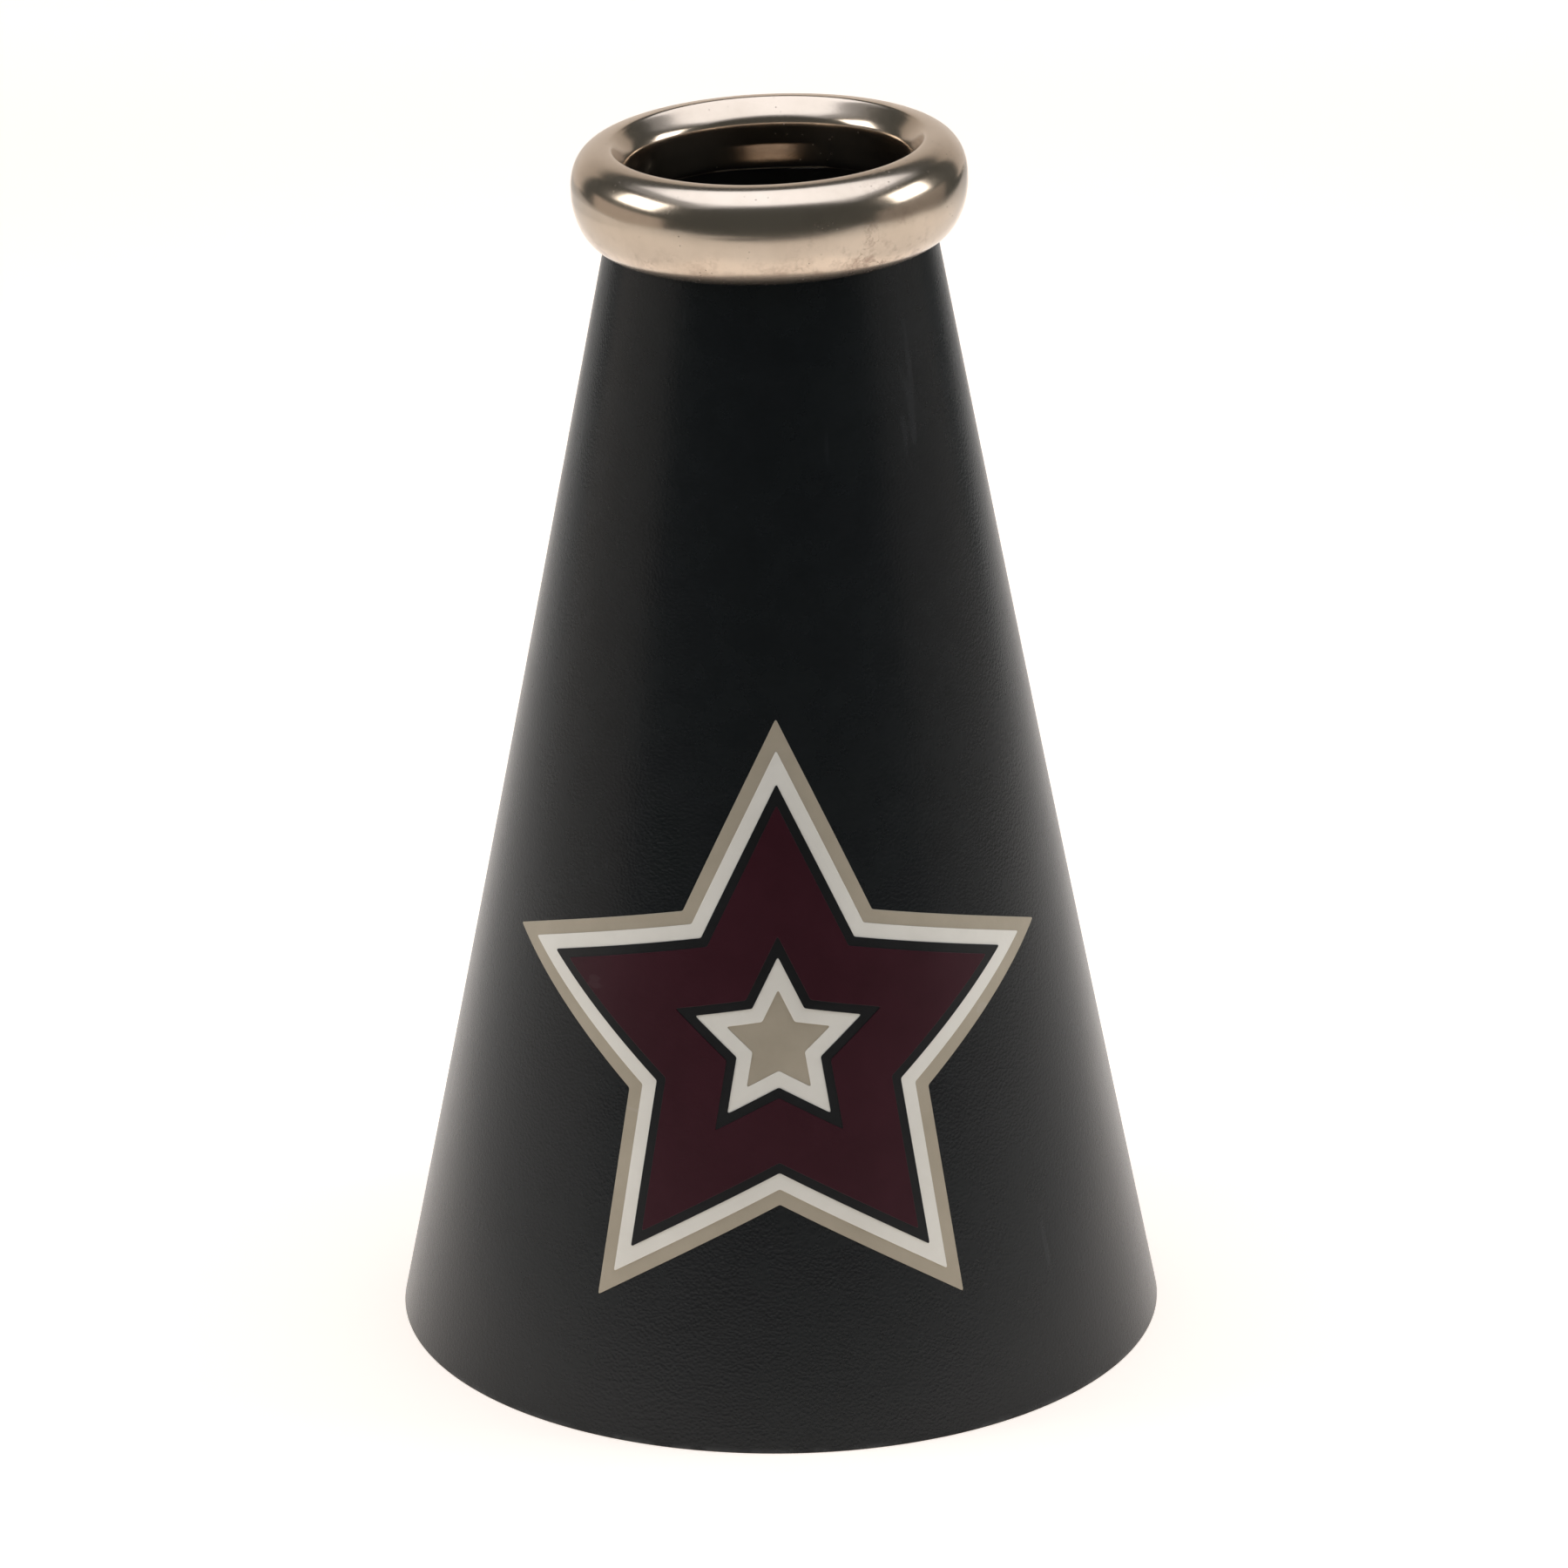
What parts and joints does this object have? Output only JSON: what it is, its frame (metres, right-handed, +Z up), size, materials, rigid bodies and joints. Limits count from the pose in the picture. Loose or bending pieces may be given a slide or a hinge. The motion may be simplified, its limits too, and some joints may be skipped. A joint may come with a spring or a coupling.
{
  "type": "cheer megaphone",
  "caption": "Small cone-shaped cheer megaphone: rolled black sheet with a lapped, riveted back seam, a hollow metal mouthpiece ring and a layered star emblem.",
  "frame": {"origin": "centre of the bell's rim, on the plane that the rim stands on", "axes": "+Z up the cone's axis from the bell to the mouthpiece, -Y towards the front with the emblem, +Y towards the lap seam, +X to the right seen from the front"},
  "size_m": [0.1016, 0.1016, 0.162],
  "materials": {
    "black_sheet": "satin, fine leather grain",
    "nickel_plate": "polished nickel plate, lightly spotted",
    "adhesive": "dried contact cement",
    "rivet_metal": "nickel plate, satin",
    "washer_metal": "zinc plate",
    "tan_film": "satin vinyl",
    "white_film": "satin vinyl",
    "black_film": "gloss vinyl",
    "maroon_film": "gloss vinyl"
  },
  "bodies": {
    "root": {"cone_shell": "black_sheet", "mouthpiece_ring": "nickel_plate", "seam_adhesive": "adhesive", "seam_rivets": "rivet_metal", "seam_rivet_washers": "washer_metal", "emblem_tan_film": "tan_film", "emblem_white_film": "white_film", "emblem_black_film": "black_film", "emblem_maroon_film": "maroon_film"}
  },
  "joints": []
}
